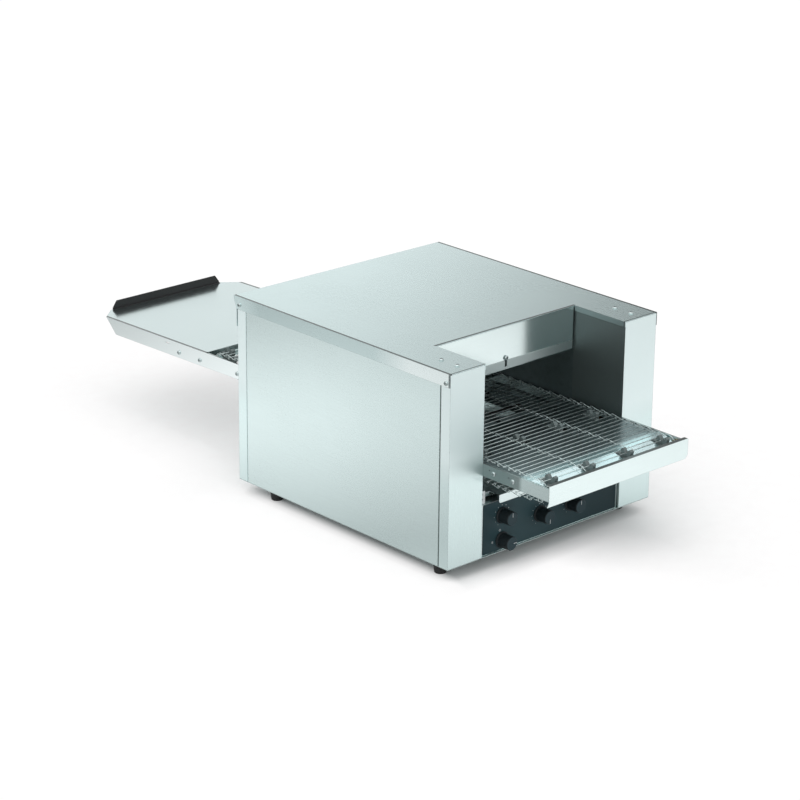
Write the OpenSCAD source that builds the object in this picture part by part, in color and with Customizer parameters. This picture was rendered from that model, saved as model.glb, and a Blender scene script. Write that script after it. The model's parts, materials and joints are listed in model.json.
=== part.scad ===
// Countertop conveyor oven: a steel housing with a straight tunnel, a wire mesh belt on toothed
// sprockets, heating elements above and below the belt, and a sloping exit tray.
// Millimetres. X runs across the belt, Y runs along the belt from the entry to the exit, Z is up.
// The origin is the centre of the footprint on the surface the feet stand on.

/* [Housing] */
// Width over the cover flanges
body_w = 560; // [500:5:640]
// Depth of the cover from the column fronts to its rear edge
body_d = 626; // [560:2:700]
// Height of the sheet metal housing without the feet
body_h = 392; // [380:1:430]
// Sheet thickness of the panels
sheet = 1.2; // [0.8:0.1:1.6]
// Thickness of the cover
cover_t = 2; // [1.5:0.1:2.5]
// Width of each front column
column_w = 90; // [80:1:100]
// Depth of the recess between the columns
recess_d = 137; // [120:1:150]
// Height of the cover's side flanges
flange_h = 26.5; // [20:0.5:32]
// Height of the bent lips beside the recess
lip_h = 9.5; // [8:0.5:15]
// Height of the cover's hanging rear edge
rear_lip_h = 64; // [40:1:66]
// How far the cover stands out behind the rear panel
rear_overhang = 9; // [6:0.5:12]
// Width of the corner strips that wrap onto the sides
corner_wrap = 25.5; // [22:0.5:32]
// Width of the seams between the panels
seam = 1.5; // [1:0.1:2.5]

/* [Feet] */
// Height of the rubber feet
foot_h = 30; // [20:1:40]
// Foot radius at the top
foot_r = 15; // [12:0.5:18]
// Foot radius at the floor
foot_tip_r = 12; // [9:0.5:14]
// Distance of the feet from the housing sides
foot_side = 34; // [28:1:45]
// Distance of the front feet from the column fronts
foot_front = 55; // [45:1:75]
// Distance of the rear feet from the rear panel
foot_rear = 78; // [60:1:95]

/* [Tunnel] */
// Height of the hood between the opening and the cover
hood_h = 87; // [80:1:95]
// Lower edge of the exit opening
exit_z = 148; // [144:1:150]
// Travel of the baffles in their slots
baffle_travel = 15; // [10:1:16]
// Height of the baffle plates
baffle_h = 45; // [40:1:48]
// Height of the stiffening strip along the hood's lower edge
band_h = 17; // [14:0.5:17]
// Space between the roof sheet and the cover
roof_gap = 38; // [34:1:40]
// Thickness of the roof insulation
lagging_t = 30; // [20:1:34]
// Deck between the hot tunnel and the control space
deck_z = 112; // [110:0.5:114]
// Number of heating elements in each bank
heater_count = 5; // [3:1:6]
// Radius of the element sheaths
heater_r = 4; // [3:0.1:4.5]
// Distance of the upper elements below the roof sheet
upper_heat_drop = 22; // [18:1:28]
// Height of the lower elements
lower_heat_z = 142; // [139:0.5:146]

/* [Belt] */
// Distance between neighbouring belt wires
pitch = 14.29; // [13.8:0.01:14.6]
// Wire radius
wire_r = 0.75; // [0.6:0.05:1]
// Height of the upper run
belt_z = 197; // [194:0.5:200]
// Teeth on each belt sprocket
teeth = 8; // [8:1:8]
// Distance of the front shaft ahead of the column fronts
front_reach = 143; // [130:1:160]
// Least distance of the rear shaft behind the rear panel
rear_reach = 176; // [160:1:190]
// Sag of the lower run between the front shaft and the drive shaft
belt_sag = 7; // [0:0.5:9]
// Clearance between the belt edge and the rails
belt_side = 9.5; // [8:0.5:13]
// Radius of the shafts
shaft_r = 6; // [5:0.25:7]
// Width of each belt sprocket
sprocket_w = 20; // [14:1:22]

/* [Conveyor frame] */
// Height of the side rails
rail_h = 25.4; // [24.4:0.2:26.4]
// Rail top below the belt wires
rail_below = 2.5; // [2:0.1:3]
// Distance of the front guard ahead of the front shaft
guard_reach = 31.6; // [29:0.2:36]
// Height of the front guard
guard_h = 41; // [36:1:43]
// Width of the guard's upper lip
guard_lip = 9; // [6:0.5:10]
// Length of the sloping nose of the plate under the belt
nose_l = 26; // [20:1:32]
// Drop of that nose
nose_drop = 5.5; // [4:0.1:5.8]

/* [Exit tray] */
// Distance of the tray end behind the rear shaft
tray_reach = 414; // [340:2:460]
// Slope of the tray in degrees
tray_tilt = 1.4; // [0.6:0.1:2]
// Height of the tray above the belt wires at its near end
tray_above = 0.7; // [0:0.1:1.2]
// Depth of the tray's side flanges
tray_flange = 33; // [30:0.5:36]
// Corner cut across the tray's far end
tray_corner = 38; // [25:1:45]
// Height of the end stop
stop_h = 19; // [14:1:26]

/* [Control panel] */
// Height of the control panel
panel_h = 106; // [102:1:108]
// How far the panel stands back from the column fronts
panel_back = 5; // [4:0.5:8]
// Knob radius
knob_r = 14.5; // [12:0.25:15.5]
// Knob length
knob_l = 29; // [24:0.5:32]
// Distance of the left knobs from the panel's left end
knob_in1 = 58; // [52:1:64]
// Distance of the middle knob from the panel's left end
knob_in2 = 160; // [150:1:170]
// Distance of the right knob from the panel's left end
knob_in3 = 246; // [236:1:256]
// Height of the upper left knob
knob_z1 = 73; // [70:0.5:78]
// Height of the middle knobs
knob_z2 = 48; // [44:0.5:54]
// Height of the lower left knob
knob_z4 = 22; // [20:0.5:26]

/* [Crumb tray] */
// Height of the crumb tray floor
crumb_z = 120; // [117:0.5:121]
// Clearance between the crumb tray and the tunnel sides
crumb_side = 18; // [16:1:26]
// Height of the tray's walls
crumb_wall = 10; // [6:0.5:11]
// Depth of its hanging front lip
crumb_lip = 17; // [12:0.5:18]

/* [Drive and cooling] */
// Radius of the drive pulleys under their belt
pulley_r = 12; // [10:0.5:14]
// Distance of the motor shaft below the drive shaft
drive_drop = 114; // [108:0.5:116]
// Width of the drive belt
band_w = 6; // [4:0.5:8]
// Thickness of the drive belt
band_t = 2; // [1.5:0.1:3]
// Belt pitches from the front shaft to the drive shaft
drive_n = 13; // [12:1:14]
// Size of the cooling fan
fan_size = 80; // [70:1:84]
// Depth of the cooling fan
fan_d = 25; // [20:1:30]
// Fan blades
blades = 7; // [5:1:9]

/* [Hidden] */
front_y = -body_d / 2;
cover_rear_y = body_d / 2;
back_y = cover_rear_y - rear_overhang;
side_x = body_w / 2 - cover_t;
recess_x = body_w / 2 - column_w;
hood_y = front_y + recess_d;
top_z = body_h - cover_t;
mouth_z = top_z - hood_h;
roof_z = top_z - roof_gap;
upper_heat_z = roof_z - upper_heat_drop;
crumb_half = recess_x - crumb_side;
knob_x1 = -recess_x + knob_in1;
knob_x2 = -recess_x + knob_in2;
knob_x3 = -recess_x + knob_in3;
inner_x = side_x - sheet;
wall_x = recess_x + sheet;
fit = 0.05;
clear = 0.4;
belt_r = pitch / (2 * sin(180 / teeth));
shaft_z = belt_z - belt_r;
front_shaft_y = front_y - front_reach;
belt_n = ceil((back_y + rear_reach - front_shaft_y) / pitch);
rear_shaft_y = front_shaft_y + belt_n * pitch;
drive_y = front_shaft_y + drive_n * pitch;
guard_y = front_shaft_y - guard_reach;
tray_end_y = rear_shaft_y + tray_reach;
mid_y = (guard_y + tray_end_y) / 2;
rail_top = belt_z - rail_below;
rail_z = rail_top - rail_h;
rail_in = recess_x - sheet;
rail_end_y = rear_shaft_y + 30;
belt_half = rail_in - belt_side;
row_x = [-belt_half + 4, -belt_half * 0.385, belt_half * 0.385, belt_half - 4];
sprocket_x = [-belt_half * 0.85, -belt_half * 0.29, belt_half * 0.29, belt_half * 0.85];
hook_w = 2 * wire_r;
hook_shift = 2.2;
hook_in = wire_r + 0.75;
hook_out = hook_in + 2 * wire_r;
hub_r = shaft_r + 5;
tip_r = belt_r - wire_r - clear;
tooth_root = 7;
tooth_tip = 4;
panel_y = front_y + panel_back;
panel_in_y = panel_y + sheet;
label_t = 0.5;
label_corner = 2.5;
panel_half = recess_x - 1;
knob_gap = 0.4;
knob_y = panel_y - label_t - knob_gap;
knob_pos = [[knob_x1, knob_z1], [knob_x2, knob_z2], [knob_x3, knob_z2], [knob_x1, knob_z4]];
switch_shaft = 3;
screw_r = 2.4;
head_r = 4.75;
head_h = 3;
cover_screw_in = 43;
cover_screw_y = [28, 71];
flange_screw_y = [front_y + 10, back_y - 8];
flange_screw_z = [top_z - 17, top_z - 15];
foot_stem_r = 3;
slot_w = 2 * screw_r + 2 * clear;
screw_z = mouth_z + band_h + 5;
baffle_z = mouth_z - 2.5;
header_half = recess_x - 1.8;
band_half = recess_x - 6;
pulley_x = recess_x + 16;
rim_t = 1.2;
pulley_half = band_w / 2 + clear + rim_t;
motor_z = shaft_z - drive_drop;
motor_shaft = 5;
gear_x = pulley_x + 10;
bush_w = belt_side - 1;
bush_r = shaft_r + 4;
shaft_half = rail_in - 0.5;
gear_half = 28;
gear_w = 40;
can_r = 22;
fan_x = -110;
fan_z = sheet + 8 + fan_size / 2;
fan_bore = fan_size / 2 - 2;
fan_hub_r = 15;
fan_pin_r = 2.5;
gland_x = 120;
gland_z = 34;
gland_r = 7;
plate_z = rail_top - sheet;
plate_cut_z = plate_z - nose_drop - 5;
plate_y0 = front_shaft_y - 2;
plate_flange_y0 = front_shaft_y + belt_r + 5;
rail_screw_y = [front_y - 29, front_y - 80];
rail_screw_z = rail_z + rail_h / 2;
pilot_r = 1.2;
pilot_y = 11;
pilot_z = 4;
runner_h = 8;
wire_sides = 8;
wire_flat = wire_r * cos(180 / wire_sides);
tray_pivot_y = back_y + 112;
tray_pivot_z = belt_z + tray_above;
tray_y0 = cover_rear_y + 17 - tray_pivot_y;
tray_plate_y0 = rail_end_y + 3 - tray_pivot_y;
tray_y1 = (tray_end_y - tray_pivot_y) / cos(tray_tilt);
heat_y0 = hood_y + 45;
heat_step = (back_y - 45 - heat_y0) / (heater_count - 1);
heat_half = recess_x + 40;
thermo_z = mouth_z - 53;
wall_screw_y = [hood_y - 64, hood_y - 29, (hood_y + back_y) / 2 - 64, back_y - 94];
tray_screw_y = [0, tray_reach * 0.3, tray_reach * 0.47];
tray_screw_drop = 21;
tray_slot_y = tray_reach * 0.55;
tray_lip = 24;
stop_t = 1.5;
board_y = back_y - 204;
block_y = back_y - 89;

// Helpers

module place() {
    translate([0, -mid_y, foot_h]) children();
}

module box(x0, x1, y0, y1, z0, z1) {
    translate([x0, y0, z0]) cube([x1 - x0, y1 - y0, z1 - z0]);
}

module both() {
    children();
    mirror([1, 0, 0]) children();
}

module rod_x(x0, x1, y, z, r) {
    translate([x0, y, z]) rotate([0, 90, 0]) cylinder(h = x1 - x0, r = r, $fn = 48);
}

module rod_y(x, y0, y1, z, r) {
    translate([x, y1, z]) rotate([90, 0, 0]) cylinder(h = y1 - y0, r = r, $fn = 48);
}

module rod_z(x, y, z0, z1, r) {
    translate([x, y, z0]) cylinder(h = z1 - z0, r = r, $fn = 48);
}

// Rectangle with round corners, from the origin
module rounded(w, h, r) {
    translate([r, 0]) square([w - 2 * r, h]);
    translate([0, r]) square([w, h - 2 * r]);
    for (x = [r, w - r], y = [r, h - r]) translate([x, y]) circle(r = r, $fn = 48);
}

// Side profile drawn in Y and Z, extruded along X from x0 to x1
module profile_x(x0, x1) {
    translate([x0, 0, 0]) rotate([90, 0, 90]) linear_extrude(x1 - x0) children();
}

// Pan head screw along +Z: the head stands on z = 0, the shank goes down
module pan_screw(length) {
    translate([0, 0, -length]) cylinder(h = length, r = screw_r, $fn = 48);
    difference() {
        rotate_extrude($fn = 48)
            polygon([[0, 0], [head_r, 0], [head_r, head_h * 0.45], [head_r * 0.72, head_h * 0.9],
                [head_r * 0.4, head_h], [0, head_h]]);
        for (a = [0, 90]) rotate([0, 0, a])
            box(-head_r * 0.62, head_r * 0.62, -0.8, 0.8, head_h * 0.3, head_h + 1);
    }
}

// Screw whose head stands on the plane x and points along side (1 or -1)
module side_screw(side, x, y, z, length) {
    translate([x, y, z]) rotate([0, side * 90, 0]) pan_screw(length);
}

module screw_hole_x(x0, x1, y, z) {
    rod_x(x0, x1, y, z, screw_r + fit);
}

// Housing

module base_pan() {
    color([0.72, 0.75, 0.76]) place() difference() {
        union() {
            box(-side_x, side_x, front_y, back_y, 0, sheet);
            both() box(inner_x - sheet, inner_x, front_y + corner_wrap + 20,
                back_y - corner_wrap - 20, 0, 14);
        }
        both() {
            rod_z(side_x - foot_side, front_y + foot_front, -1, sheet + 1, foot_stem_r + fit);
            rod_z(side_x - foot_side, back_y - foot_rear, -1, sheet + 1, foot_stem_r + fit);
        }
        for (i = [0 : 7]) box(-60, 60, -120 + i * 22, -112 + i * 22, -1, sheet + 1);
    }
}

module foot(x, y) {
    translate([x, y, -foot_h]) rotate_extrude($fn = 64)
        polygon([[0, 0], [foot_tip_r - 1, 0], [foot_tip_r, 1], [foot_r, foot_h - 4], [foot_r, foot_h],
            [foot_stem_r, foot_h], [foot_stem_r, foot_h + 9], [0, foot_h + 9]]);
}

module feet() {
    color([0.08, 0.08, 0.08]) place() both() {
        foot(side_x - foot_side, front_y + foot_front);
        foot(side_x - foot_side, back_y - foot_rear);
    }
}

module column() {
    difference() {
        union() {
            translate([0, 0, sheet]) linear_extrude(top_z - sheet)
                polygon([[recess_x, hood_y], [recess_x, front_y], [side_x, front_y],
                    [side_x, front_y + corner_wrap], [inner_x, front_y + corner_wrap],
                    [inner_x, front_y + sheet], [wall_x, front_y + sheet], [wall_x, hood_y]]);
            box(wall_x, inner_x, front_y + sheet, front_y + 95, top_z - sheet, top_z);
        }
        for (y = cover_screw_y)
            rod_z(side_x - cover_screw_in, front_y + y, top_z - 5, top_z + 1, screw_r + fit);
        screw_hole_x(side_x - 5, side_x + 1, flange_screw_y[0], flange_screw_z[0]);
        for (i = [0, 1]) screw_hole_x(recess_x - 1, wall_x + 1, wall_screw_y[i], rail_screw_z);
    }
}

module front_left_column() {
    color([0.75, 0.79, 0.8]) place() mirror([1, 0, 0]) column();
}

module front_right_column() {
    color([0.75, 0.79, 0.8]) place() difference() {
        column();
        rod_x(recess_x - 1, wall_x + 1, drive_y, shaft_z, shaft_r + clear);
    }
}

module side_panel() {
    y0 = front_y + corner_wrap + seam;
    y1 = back_y - corner_wrap - seam;
    box(inner_x, side_x, y0, y1, sheet, top_z);
    box(inner_x - sheet, inner_x, y0 - 14, y0 + 8, sheet, top_z - 4);
    box(inner_x - sheet, inner_x, y1 - 8, y1 + 14, sheet, top_z - 4);
}

module left_side_panel() {
    color([0.8, 0.84, 0.85]) place() mirror([1, 0, 0]) side_panel();
}

module right_side_panel() {
    color([0.8, 0.84, 0.85]) place() side_panel();
}

module rear_panel() {
    color([0.72, 0.76, 0.77]) place() difference() {
        union() {
            box(-side_x, side_x, back_y - sheet, back_y, sheet, top_z);
            both() box(inner_x, side_x, back_y - corner_wrap, back_y, sheet, top_z);
        }
        box(-recess_x, recess_x, back_y - 5, back_y + 5, exit_z, mouth_z);
        box(-slot_w / 2, slot_w / 2, back_y - 5, back_y + 5, screw_z - baffle_travel - slot_w / 2,
            screw_z + slot_w / 2);
        for (i = [-4 : 4])
            box(fan_x - 30 + abs(i) * 3, fan_x + 30 - abs(i) * 3, back_y - 5, back_y + 5,
                fan_z + i * 7 - 1.6, fan_z + i * 7 + 1.6);
        rod_y(gland_x, back_y - 5, back_y + 5, gland_z, gland_r + 3 + fit);
        both() screw_hole_x(inner_x - 1, side_x + 1, flange_screw_y[1], flange_screw_z[1]);
        both() for (i = [0 : 4])
            box(side_x - 66, side_x - 26, back_y - 5, back_y + 5, 230 + i * 14, 234 + i * 14);
    }
}

module top_cover() {
    color([0.82, 0.86, 0.87]) place() difference() {
        union() {
            difference() {
                box(-side_x, side_x, front_y, cover_rear_y, top_z, body_h);
                box(-recess_x + cover_t, recess_x - cover_t, front_y - 1, hood_y - cover_t,
                    top_z - 1, body_h + 1);
            }
            both() profile_x(side_x, side_x + cover_t)
                polygon([[front_y, body_h], [front_y, body_h - flange_h],
                    [cover_rear_y - 8, body_h - flange_h], [cover_rear_y, body_h - 8],
                    [cover_rear_y, body_h]]);
            both() box(recess_x - cover_t, recess_x, front_y, hood_y, top_z - lip_h, body_h);
            box(-side_x + 4, side_x - 4, cover_rear_y - cover_t, cover_rear_y, top_z - rear_lip_h, body_h);
        }
        both() {
            for (y = cover_screw_y)
                rod_z(side_x - cover_screw_in, front_y + y, top_z - 5, body_h + 1, screw_r + fit);
            for (i = [0, 1])
                screw_hole_x(side_x - 5, side_x + 5, flange_screw_y[i], flange_screw_z[i]);
        }
    }
}

module cover_screws() {
    color([0.6, 0.63, 0.64]) place() both() {
        for (y = cover_screw_y)
            translate([side_x - cover_screw_in, front_y + y, body_h]) pan_screw(9);
        for (i = [0, 1]) side_screw(1, side_x + cover_t, flange_screw_y[i], flange_screw_z[i], 7);
    }
}

// Tunnel

module entry_header() {
    color([0.7, 0.74, 0.74]) place() difference() {
        union() {
            box(-header_half, header_half, hood_y, hood_y + sheet, mouth_z, top_z);
            box(-band_half, band_half, hood_y - sheet, hood_y, mouth_z, mouth_z + band_h);
        }
        box(-slot_w / 2, slot_w / 2, hood_y - 5, hood_y + 5, screw_z - baffle_travel - slot_w / 2,
            screw_z + slot_w / 2);
    }
}

// Baffle plate lying against y = 0 with its weld nut behind
module baffle() {
    difference() {
        union() {
            box(-recess_x + 4, recess_x - 4, 0, sheet, baffle_z, baffle_z + baffle_h);
            box(-recess_x + 4, recess_x - 4, 0, 8, baffle_z, baffle_z + sheet);
            translate([0, sheet + 3.5, screw_z]) rotate([90, 0, 0])
                cylinder(h = 3.5, r = head_r, $fn = 6);
        }
        rod_y(0, -1, sheet + 5, screw_z, screw_r + fit);
    }
}

// Screw whose head stands on the face that lies grip in front of the baffle
module baffle_screw(grip) {
    translate([0, -grip, screw_z]) rotate([90, 0, 0]) pan_screw(grip + sheet + 5);
}

module entry_baffle() {
    color([0.6, 0.63, 0.63]) place() translate([0, hood_y + sheet, 0]) baffle();
}

module entry_baffle_screw() {
    color([0.6, 0.63, 0.64]) place() translate([0, hood_y + sheet, 0])
        baffle_screw(2 * sheet + fit);
}

module exit_baffle() {
    color([0.6, 0.63, 0.63]) place() translate([0, back_y - sheet, 0]) mirror([0, 1, 0]) baffle();
}

module exit_baffle_screw() {
    color([0.6, 0.63, 0.64]) place() translate([0, back_y - sheet, 0]) mirror([0, 1, 0])
        baffle_screw(sheet);
}

module tunnel_wall() {
    difference() {
        box(recess_x, wall_x, hood_y, back_y - sheet, sheet, top_z);
        for (i = [0 : heater_count - 1]) {
            rod_x(recess_x - 1, wall_x + 1, heat_y0 + i * heat_step, upper_heat_z, heater_r + fit);
            rod_x(recess_x - 1, wall_x + 1, heat_y0 + i * heat_step, lower_heat_z, heater_r + fit);
        }
        box(recess_x - 1, wall_x + 1, 60, 120, 30, 70);
        for (i = [2, 3]) screw_hole_x(recess_x - 1, wall_x + 1, wall_screw_y[i], rail_screw_z);
    }
}

module left_tunnel_wall() {
    color([0.42, 0.44, 0.44]) place() mirror([1, 0, 0]) tunnel_wall();
}

module right_tunnel_wall() {
    color([0.42, 0.44, 0.44]) place() tunnel_wall();
}

module roof_sheet() {
    color([0.5, 0.52, 0.52]) place()
        box(-recess_x, recess_x, hood_y + 12, back_y - 13, roof_z, roof_z + sheet);
}

module roof_lagging() {
    color([0.85, 0.82, 0.7]) place()
        box(-recess_x, recess_x, hood_y + 12, back_y - 13, roof_z + sheet, roof_z + sheet + lagging_t);
}

module deck_plate() {
    color([0.6, 0.63, 0.63]) place() {
        box(-recess_x, recess_x, panel_in_y + 16, back_y - sheet, deck_z, deck_z + sheet);
        both() box(recess_x - sheet, recess_x, panel_in_y + 40, back_y - sheet, deck_z - 10, deck_z);
    }
}

module heaters(z) {
    for (i = [0 : heater_count - 1]) {
        y = heat_y0 + i * heat_step;
        rod_x(-heat_half + 14, heat_half - 14, y, z, heater_r);
        both() rod_x(heat_half - 15, heat_half, y, z, 1.6);
    }
}

module upper_heaters() {
    color([0.25, 0.22, 0.2]) place() heaters(upper_heat_z);
}

module lower_heaters() {
    color([0.25, 0.22, 0.2]) place() heaters(lower_heat_z);
}

module limit_thermostat() {
    color([0.85, 0.83, 0.76]) place() {
        rod_x(-wall_x - 11, -wall_x, 20, thermo_z, 12);
        for (z = [thermo_z - 4, thermo_z + 4]) box(-wall_x - 22, -wall_x - 10, 19.6, 20.4, z - 3, z + 3);
    }
}

// Conveyor frame

module rail() {
    difference() {
        union() {
            box(rail_in, recess_x, guard_y + sheet, rail_end_y, rail_z, rail_top);
            box(rail_in - 4, rail_in, guard_y + sheet, rail_end_y, rail_top - sheet, rail_top);
            box(rail_in - 6, rail_in, guard_y + sheet, rail_end_y, rail_z, rail_z + sheet);
        }
        for (y = [front_shaft_y, drive_y, rear_shaft_y])
            rod_x(rail_in - 7, rail_in, y, shaft_z, bush_r + clear);
        for (y = rail_screw_y) {
            screw_hole_x(rail_in - 1, recess_x + 1, y, rail_screw_z);
            rod_x(rail_in - 1, recess_x + 1, y + pilot_y, rail_screw_z + pilot_z, pilot_r);
        }
        for (y = wall_screw_y) screw_hole_x(rail_in - 1, recess_x + 1, y, rail_screw_z);
        screw_hole_x(rail_in - 1, recess_x + 1, tray_pivot_y - tray_screw_drop * sin(tray_tilt),
            tray_pivot_z - tray_screw_drop * cos(tray_tilt));
    }
}

module left_rail() {
    color([0.68, 0.72, 0.72]) place() mirror([1, 0, 0]) rail();
}

module right_rail() {
    color([0.68, 0.72, 0.72]) place() difference() {
        rail();
        rod_x(rail_in - 1, recess_x + 1, drive_y, shaft_z, shaft_r + clear);
    }
}

module front_guard() {
    z1 = belt_z + 3.3;
    z0 = z1 - guard_h;
    color([0.82, 0.86, 0.86]) place() {
        translate([0, guard_y + sheet, 0]) rotate([90, 0, 0]) linear_extrude(sheet)
            polygon([[-recess_x, z0 + 7], [-recess_x - 4, z0], [recess_x - 7, z0], [recess_x, z0 + 7],
                [recess_x, z1 - 2], [recess_x - 2, z1], [-recess_x + 2, z1], [-recess_x, z1 - 2]]);
        box(-recess_x + 2, recess_x - 2, guard_y + sheet / 2, guard_y + guard_lip, z1 - sheet, z1);
        box(-recess_x + 8, recess_x - 8, guard_y + sheet / 2, guard_y + 5, z0, z0 + sheet);
    }
}

module load_plate() {
    color([0.8, 0.84, 0.84]) place() difference() {
        union() {
            profile_x(-rail_in, rail_in)
                polygon([[plate_y0, plate_z - nose_drop], [plate_y0 + nose_l, plate_z],
                    [hood_y - 4, plate_z], [hood_y - 4, plate_z - sheet],
                    [plate_y0 + nose_l, plate_z - sheet], [plate_y0, plate_z - nose_drop - sheet]]);
            both() box(rail_in - sheet, rail_in, plate_flange_y0, front_y - 8, rail_z + 6, plate_z);
        }
        for (x = sprocket_x, y = [front_shaft_y, drive_y])
            box(x - sprocket_w / 2 - 2, x + sprocket_w / 2 + 2, y - tip_r - 6, y + tip_r + 6,
                plate_cut_z, plate_z + 1);
        both() box(rail_in - bush_w - 1, rail_in + 1, plate_y0 - 1, front_shaft_y + bush_r + 2,
            plate_cut_z, plate_z + 1);
        both() for (y = rail_screw_y) screw_hole_x(rail_in - 5, rail_in + 1, y, rail_screw_z);
    }
}

module belt_supports() {
    color([0.5, 0.53, 0.53]) place() {
        for (x = [-belt_half * 0.61, 0, belt_half * 0.61])
            box(x - 2, x + 2, hood_y + 8, rear_shaft_y - tip_r - 6, plate_z - runner_h, belt_z - wire_flat);
        for (y = [hood_y + 30, (hood_y + back_y) / 2 - 8, back_y - 46, rear_shaft_y - 60])
            box(-rail_in, rail_in, y - 4, y + 4, plate_z - runner_h - 8, plate_z - runner_h);
    }
}

module rail_screws() {
    color([0.6, 0.63, 0.64]) place() {
        both() for (y = rail_screw_y) side_screw(1, recess_x, y, rail_screw_z, 8);
        both() for (y = wall_screw_y) side_screw(-1, rail_in, y, rail_screw_z, 6);
    }
}

module bushing(y) {
    difference() {
        rod_x(rail_in - bush_w, rail_in, y, shaft_z, bush_r);
        rod_x(rail_in - bush_w - 1, rail_in + 1, y, shaft_z, shaft_r + fit);
    }
}

module shaft_bushings() {
    color([0.7, 0.55, 0.3]) place() both()
        for (y = [front_shaft_y, drive_y, rear_shaft_y]) bushing(y);
}

// Belt: each wire has hooks that reach over the next wire and curl round it

function hook_arc(r, a0, a1, n) = [for (i = [0 : n]) [pitch + r * cos(a0 + (a1 - a0) * i / n),
    r * sin(a0 + (a1 - a0) * i / n)]];

hook_outline = concat([[-0.4 * wire_r, 0.85 * wire_r]], hook_arc(hook_out, 100, -140, 3),
    hook_arc(hook_in, -140, 100, 3), [[0.4 * wire_r, -0.85 * wire_r]]);

module strand(side) {
    translate([-belt_half, 0, 0]) rotate([0, 90, 0]) rotate([0, 0, 180 / wire_sides])
        cylinder(h = 2 * belt_half, r = wire_r, $fn = wire_sides);
    for (x = row_x)
        translate([x + side * hook_shift - hook_w / 2, 0, 0]) rotate([90, 0, 90])
            linear_extrude(hook_w) polygon(hook_outline);
}

module wire_at(y, z, turn, index) {
    translate([0, y, z]) rotate([turn, 0, 0]) strand(index % 2 == 0 ? 1 : -1);
}

// Upper run and the turn round the rear shaft
module belt_upper_run() {
    step = 360 / teeth;
    color([0.55, 0.57, 0.56]) place() {
        for (k = [0 : belt_n - 1]) wire_at(front_shaft_y + k * pitch, belt_z, 0, k);
        for (i = [0 : teeth / 2 - 1])
            wire_at(rear_shaft_y + belt_r * cos(90 - i * step), shaft_z + belt_r * sin(90 - i * step),
                -step / 2 - i * step, belt_n + i);
    }
}

// Drop of the lower run at the wire that lies n pitches behind the front shaft
function sag(n) = n > drive_n ? 0 : belt_sag * 4 * (n / drive_n) * (1 - n / drive_n);

// Lower run and the turn round the front shaft
module belt_return_run() {
    step = 360 / teeth;
    color([0.55, 0.57, 0.56]) place() {
        for (k = [0 : belt_n - 1]) {
            n = belt_n - k;
            wire_at(rear_shaft_y - k * pitch, shaft_z - belt_r - sag(n),
                180 + atan((sag(n - 1) - sag(n)) / pitch), belt_n + teeth / 2 + k);
        }
        for (i = [0 : teeth / 2 - 1])
            wire_at(front_shaft_y + belt_r * cos(270 - i * step), shaft_z + belt_r * sin(270 - i * step),
                180 - step / 2 - i * step, teeth / 2 + i);
    }
}

// Shafts and sprockets

module belt_sprocket(x, y) {
    translate([x - sprocket_w / 2, y, shaft_z]) rotate([90, 0, 90]) linear_extrude(sprocket_w)
        difference() {
            union() {
                circle(r = hub_r, $fn = 96);
                for (i = [0 : teeth - 1]) rotate([0, 0, (i + 0.5) * 360 / teeth])
                    polygon([[hub_r - 2, -tooth_root / 2], [tip_r - 1, -tooth_tip / 2],
                        [tip_r, -tooth_tip / 4], [tip_r, tooth_tip / 4], [tip_r - 1, tooth_tip / 2],
                        [hub_r - 2, tooth_root / 2]]);
            }
            circle(r = shaft_r + fit / 2, $fn = 64);
        }
}

module sprocket_set(y) {
    for (x = sprocket_x) belt_sprocket(x, y);
}

module front_shaft() {
    color([0.62, 0.64, 0.65]) place() rod_x(-shaft_half, shaft_half, front_shaft_y, shaft_z, shaft_r);
}

module front_sprockets() {
    color([0.2, 0.21, 0.22]) place() sprocket_set(front_shaft_y);
}

module rear_shaft() {
    color([0.62, 0.64, 0.65]) place() rod_x(-shaft_half, shaft_half, rear_shaft_y, shaft_z, shaft_r);
}

module rear_sprockets() {
    color([0.2, 0.21, 0.22]) place() sprocket_set(rear_shaft_y);
}

module drive_shaft() {
    color([0.62, 0.64, 0.65]) place()
        rod_x(-shaft_half, pulley_x + pulley_half + 2, drive_y, shaft_z, shaft_r);
}

module drive_sprockets() {
    color([0.2, 0.21, 0.22]) place() sprocket_set(drive_y);
}

// Flanged pulleys and the flat belt from the gearmotor to the drive shaft

module pulley(z) {
    rod_x(pulley_x - pulley_half, pulley_x + pulley_half, drive_y, z, pulley_r);
    for (x = [pulley_x - pulley_half, pulley_x + pulley_half - rim_t])
        rod_x(x, x + rim_t, drive_y, z, pulley_r + band_t + 1);
}

module drive_pulley() {
    color([0.35, 0.36, 0.37]) place() difference() {
        pulley(shaft_z);
        rod_x(pulley_x - pulley_half - 1, pulley_x + pulley_half + 1, drive_y, shaft_z, shaft_r + fit / 2);
    }
}

module motor_pulley() {
    color([0.35, 0.36, 0.37]) place() {
        pulley(motor_z);
        rod_x(pulley_x, gear_x + 12, drive_y, motor_z, motor_shaft);
    }
}

module band_outline(r) {
    for (z = [shaft_z, motor_z]) translate([0, z]) circle(r = r, $fn = 96);
    translate([-r, motor_z]) square([2 * r, shaft_z - motor_z]);
}

module drive_belt() {
    color([0.08, 0.08, 0.08]) place() translate([pulley_x - band_w / 2, drive_y, 0]) rotate([90, 0, 90])
        linear_extrude(band_w) difference() {
            band_outline(pulley_r + fit + band_t);
            band_outline(pulley_r + fit);
        }
}

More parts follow.
